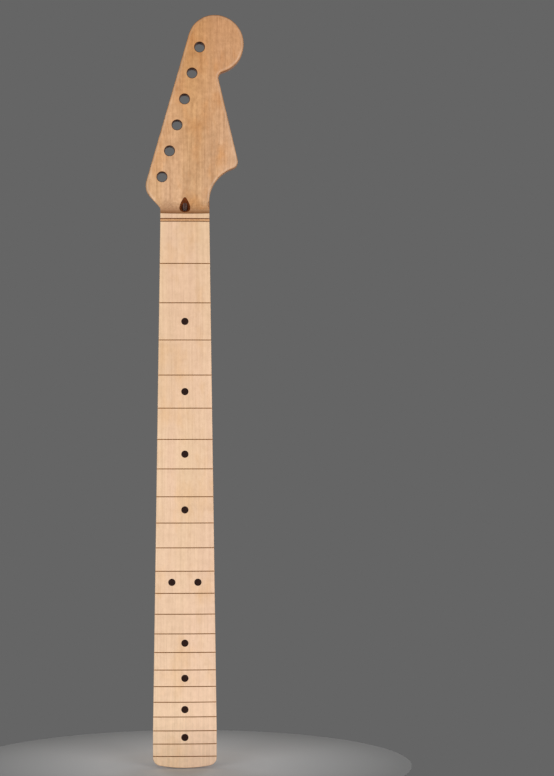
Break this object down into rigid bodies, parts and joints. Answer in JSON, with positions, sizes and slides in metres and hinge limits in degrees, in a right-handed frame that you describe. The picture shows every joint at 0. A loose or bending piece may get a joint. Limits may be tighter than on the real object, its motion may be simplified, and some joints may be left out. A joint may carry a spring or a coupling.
{
  "type": "electric guitar neck",
  "caption": "Bolt-on electric guitar neck: one-piece maple shaft and angled-edge headstock, slotted crowned board with dots, walnut rear stripe, truss rod set at the headstock.",
  "frame": {"origin": "centre of the four screw holes, on the flat back of the heel", "axes": "+Z along the neck to the headstock, +Y out of the back, the playing surface faces -Y, the tuner side of the headstock is at -X"},
  "size_m": [0.0858, 0.0254, 0.6584],
  "materials": {
    "shaft_maple": "satin clear coat over maple",
    "board_maple": "satin clear coat over pale maple",
    "walnut": "satin walnut",
    "dark_walnut": "satin dark walnut",
    "steel": "turned steel",
    "dot_black": "smooth, level with the wood"
  },
  "bodies": {
    "neck": {"neck_shaft": "shaft_maple", "fretboard": "board_maple", "skunk_stripe": "walnut", "truss_rod_plug": "dark_walnut", "truss_rod_washer": "steel", "truss_rod": "steel", "truss_rod_anchor": "steel", "dot_3": "dot_black", "dot_5": "dot_black", "dot_7": "dot_black", "dot_9": "dot_black", "dot_12_bass": "dot_black", "dot_12_treble": "dot_black", "dot_15": "dot_black", "dot_17": "dot_black", "dot_19": "dot_black", "dot_21": "dot_black", "side_dot_3": "dot_black", "side_dot_5": "dot_black", "side_dot_7": "dot_black", "side_dot_9": "dot_black", "side_dot_12_upper": "dot_black", "side_dot_12_lower": "dot_black", "side_dot_15": "dot_black", "side_dot_17": "dot_black", "side_dot_19": "dot_black", "side_dot_21": "dot_black"},
    "adjuster": {"truss_rod_nut": "steel"}
  },
  "joints": [
    {"name": "truss_rod_nut_turn", "type": "hinge", "parent": "neck", "child": "adjuster", "pos_m": [0, -0.01531, 0.42026], "axis": [0, -0.1305, 0.9914], "range_deg": [-360, 360]}
  ]
}
